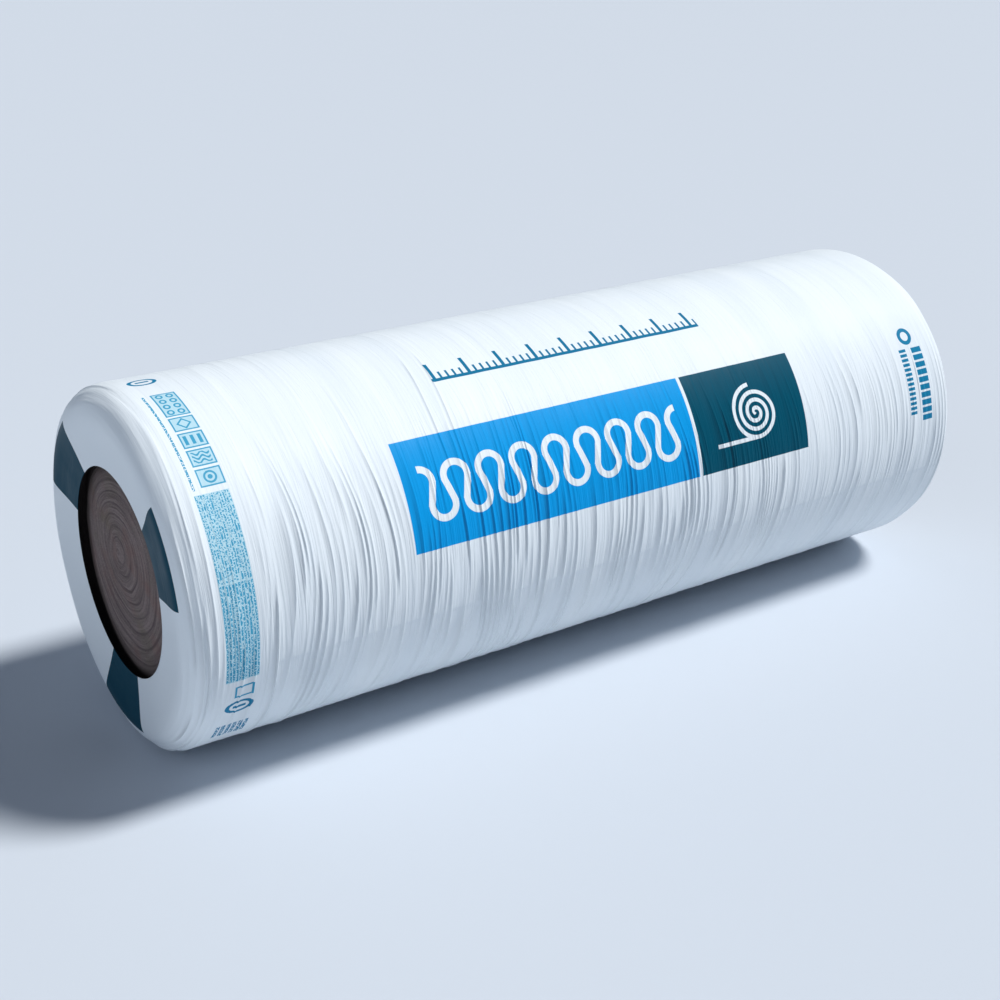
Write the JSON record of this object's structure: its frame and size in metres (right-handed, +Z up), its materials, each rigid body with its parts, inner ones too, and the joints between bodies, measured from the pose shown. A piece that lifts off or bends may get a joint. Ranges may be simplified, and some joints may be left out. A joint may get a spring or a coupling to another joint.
{
  "type": "insulation roll",
  "caption": "Mineral wool blanket rolled up tight in a shrunk white film wrap, lying on its side, its turns showing through a round opening in each end.",
  "frame": {"origin": "on the floor, straight below the middle of the roll", "axes": "+X along the roll's axis, +Y across it, +Z up"},
  "size_m": [1.2, 0.448, 0.4479],
  "materials": {
    "wool": "compressed mineral wool, fibrous and matt",
    "film": "white polyethylene film, satin, finely creased round the roll"
  },
  "bodies": {
    "root": {"wool_roll": "wool", "film_wrap": "film"}
  },
  "joints": []
}
